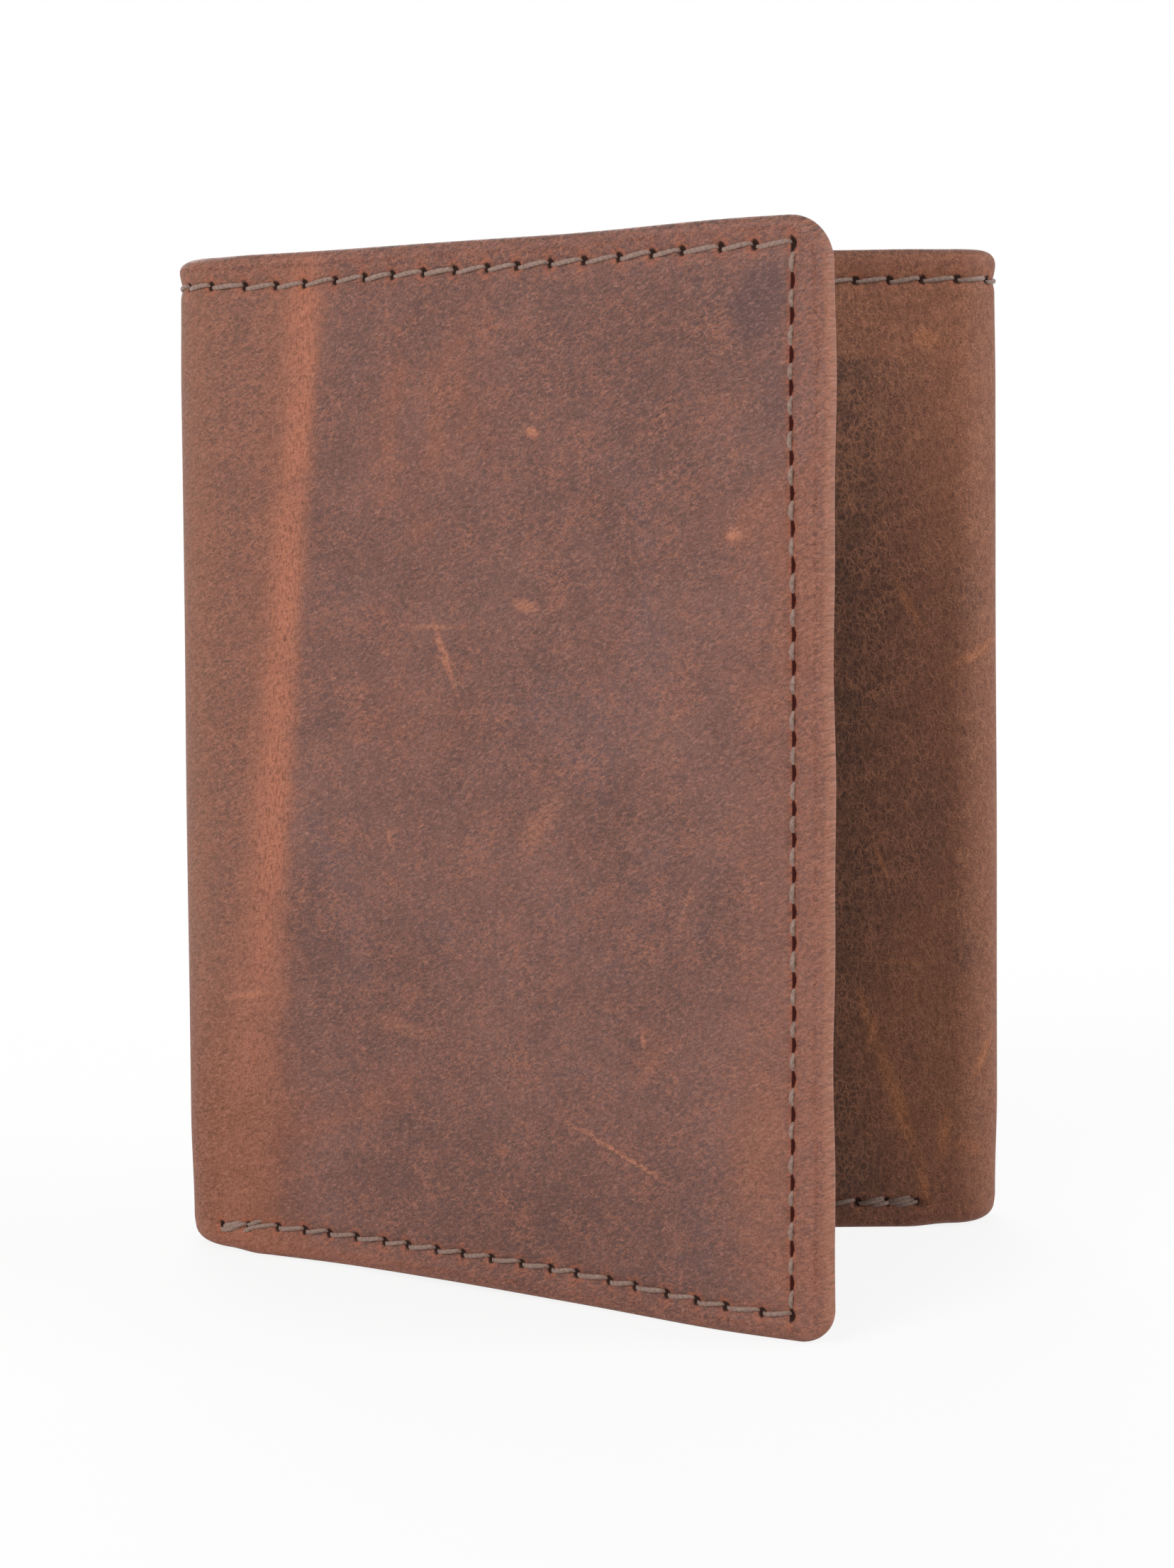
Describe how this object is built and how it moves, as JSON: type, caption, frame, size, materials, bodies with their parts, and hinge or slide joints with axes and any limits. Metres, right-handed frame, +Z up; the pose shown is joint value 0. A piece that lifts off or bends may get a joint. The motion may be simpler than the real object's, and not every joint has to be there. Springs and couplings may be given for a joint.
{
  "type": "trifold wallet",
  "caption": "Upright trifold leather wallet with turned stitched edges, folding flaps, card pockets, a window pocket and a lined note compartment.",
  "frame": {"origin": "centre of the bounding box on the surface that the wallet stands on, with the front flap part open", "axes": "+Z up along the folds, +Y out of the back panel, +X towards the right fold as seen from the front flap"},
  "size_m": [0.086, 0.0581, 0.104],
  "materials": {
    "shell_leather": "waxed pull-up leather, worn and cloudy",
    "inner_leather": "thin smooth oiled leather",
    "lining": "fine woven cloth",
    "divider": "fine woven cloth",
    "thread": "twisted bonded thread",
    "window": "clear flexible sheet"
  },
  "bodies": {
    "centre_panel": {"back_leather": "shell_leather", "back_lining": "lining", "back_divider": "divider", "centre_inner_wall": "inner_leather", "id_window_sheet": "window", "id_window_frame": "inner_leather", "back_thread": "thread", "id_window_thread": "thread"},
    "left_spine": {"left_fold_leather": "shell_leather", "left_fold_lining": "lining", "left_fold_divider": "divider", "left_fold_inner_wall": "inner_leather", "left_fold_thread": "thread"},
    "front_flap": {"front_leather": "shell_leather", "front_lining": "lining", "front_divider": "divider", "front_inner_wall": "inner_leather", "front_card_pocket_upper": "inner_leather", "front_card_pocket_middle": "inner_leather", "front_card_pocket_lower": "inner_leather", "front_thread": "thread", "front_pocket_thread": "thread"},
    "right_spine": {"right_fold_leather": "shell_leather", "right_fold_lining": "lining", "right_fold_divider": "divider", "right_fold_inner_wall": "inner_leather", "right_fold_thread": "thread"},
    "tucked_flap": {"tucked_leather": "shell_leather", "tucked_lining": "lining", "tucked_divider": "divider", "tucked_inner_wall": "inner_leather", "tucked_card_pocket_upper": "inner_leather", "tucked_card_pocket_middle": "inner_leather", "tucked_card_pocket_lower": "inner_leather", "tucked_thread": "thread", "tucked_pocket_thread": "thread"}
  },
  "joints": [
    {"name": "left_spine_fold", "type": "hinge", "parent": "centre_panel", "child": "left_spine", "pos_m": [-0.04146, 0.0275, 0.052], "axis": [0, 0, -1], "range_deg": [0, 90], "deforming": ["left_fold_leather", "left_fold_lining", "left_fold_divider", "left_fold_inner_wall", "left_fold_thread"]},
    {"name": "front_flap_fold", "type": "hinge", "parent": "left_spine", "child": "front_flap", "pos_m": [-0.04146, 0.01278, 0.052], "axis": [0, 0, -1], "range_deg": [-32, 58], "deforming": ["left_fold_leather", "left_fold_lining", "left_fold_divider", "left_fold_inner_wall", "left_fold_thread"]},
    {"name": "right_spine_fold", "type": "hinge", "parent": "centre_panel", "child": "right_spine", "pos_m": [0.04146, 0.0275, 0.052], "axis": [0, 0, 1], "range_deg": [0, 90], "deforming": ["right_fold_leather", "right_fold_lining", "right_fold_divider", "right_fold_inner_wall", "right_fold_thread"]},
    {"name": "tucked_flap_fold", "type": "hinge", "parent": "right_spine", "child": "tucked_flap", "pos_m": [0.04146, 0.01898, 0.052], "axis": [0, 0, 1], "range_deg": [0, 90], "deforming": ["right_fold_leather", "right_fold_lining", "right_fold_divider", "right_fold_inner_wall", "right_fold_thread"]}
  ],
  "couplings": [
    {"joint": "right_spine_fold", "follows": "left_spine_fold", "ratio": 1},
    {"joint": "tucked_flap_fold", "follows": "left_spine_fold", "ratio": 1}
  ]
}
